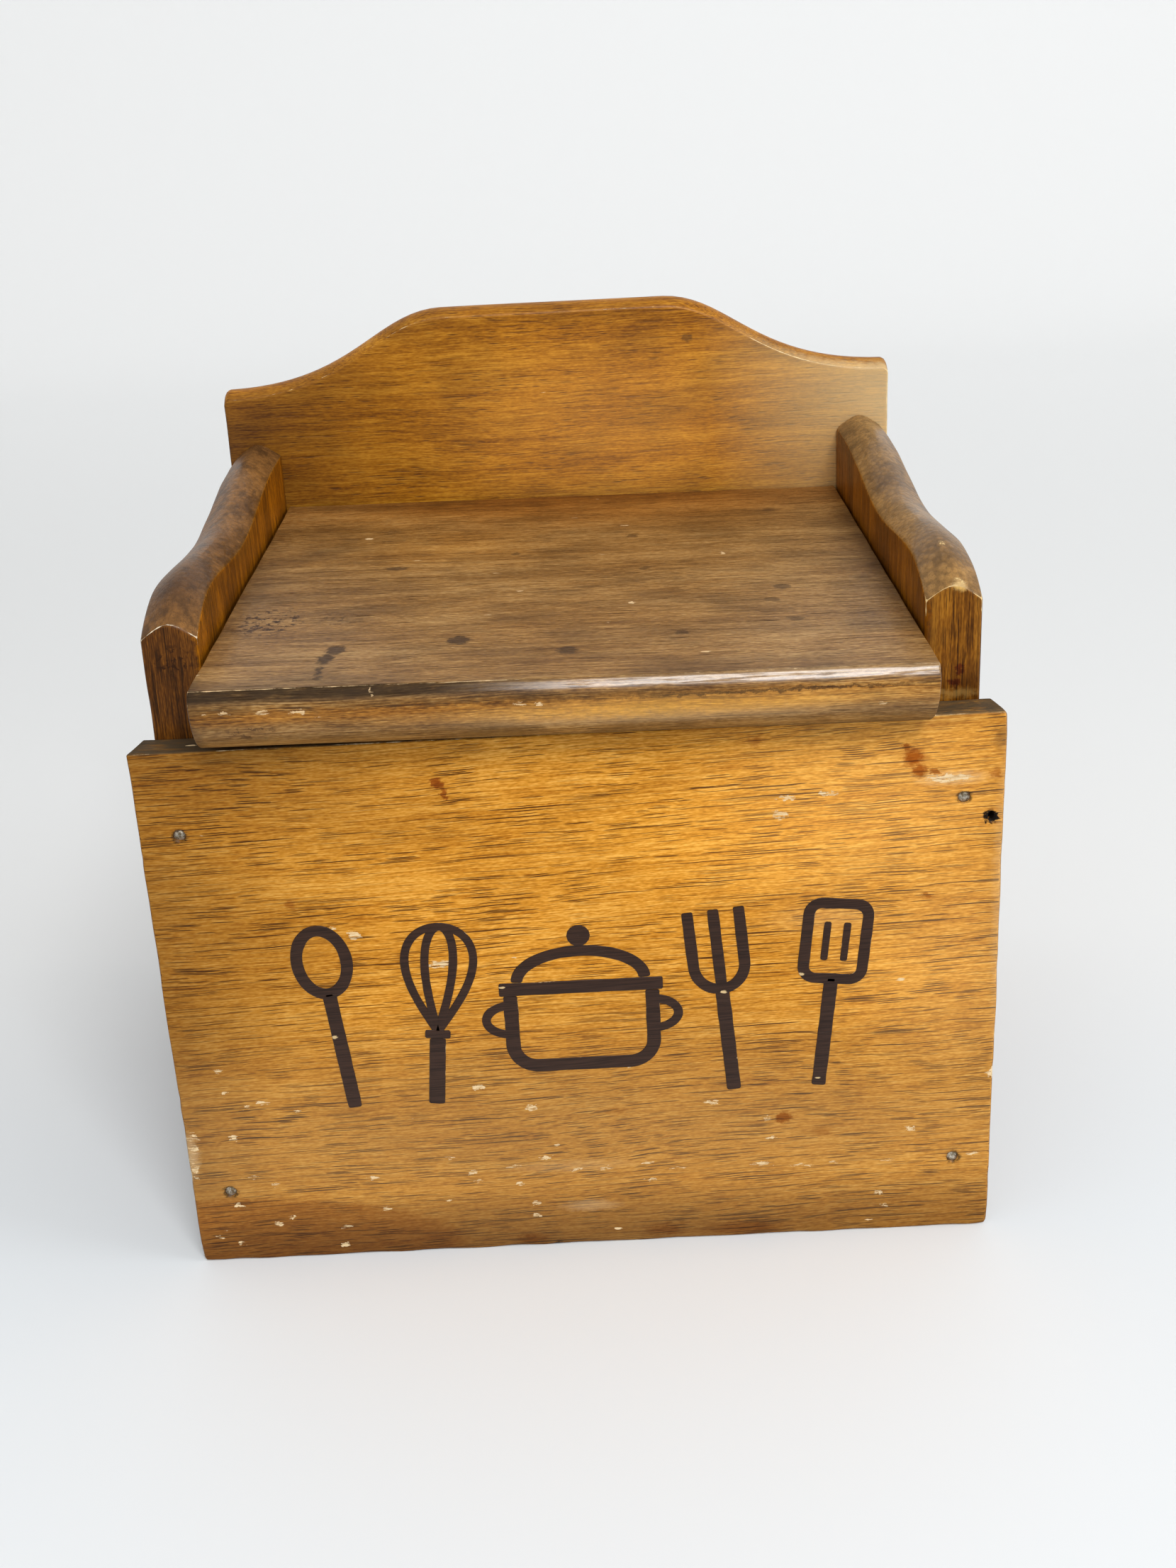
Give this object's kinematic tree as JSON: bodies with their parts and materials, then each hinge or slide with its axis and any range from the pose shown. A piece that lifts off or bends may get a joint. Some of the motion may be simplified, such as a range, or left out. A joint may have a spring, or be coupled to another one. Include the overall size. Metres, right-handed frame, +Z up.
{
  "type": "recipe card box",
  "caption": "Wooden recipe card box shaped like a small settle, with scrolled arms, a tall coved backboard and a thick round-nosed lid that lifts on two side pins to reach the cards.",
  "frame": {"origin": "on the surface it stands on, below the middle of its overall width and depth", "axes": "+X to the right seen from the front, +Y to the back, +Z up; the front panel faces -Y"},
  "size_m": [0.17, 0.1512, 0.1809],
  "materials": {
    "front_panel_wood": "worn satin varnish over golden open-pored wood, grain across",
    "side_wood": "worn satin varnish, dark brown, grain upright",
    "backboard_wood": "satin varnish, orange-brown, grain across",
    "bottom_wood": "bare sanded wood",
    "lid_wood": "worn satin varnish, grey-brown on top and orange on the nose, grain across",
    "nail_steel": "dull, slightly tarnished",
    "pin_steel": "dull"
  },
  "bodies": {
    "case": {"front_panel": "front_panel_wood", "left_side": "side_wood", "right_side": "side_wood", "backboard": "backboard_wood", "bottom_board": "bottom_wood", "front_nails": "nail_steel", "back_nails": "nail_steel", "bottom_nails": "nail_steel", "hinge_pin_left": "pin_steel", "hinge_pin_right": "pin_steel"},
    "lid": {"lid": "lid_wood"}
  },
  "joints": [
    {"name": "lid_hinge", "type": "hinge", "parent": "case", "child": "lid", "pos_m": [0, 0.0545, 0.12943], "axis": [-1, 0, 0], "range_deg": [0, 99.4]}
  ]
}
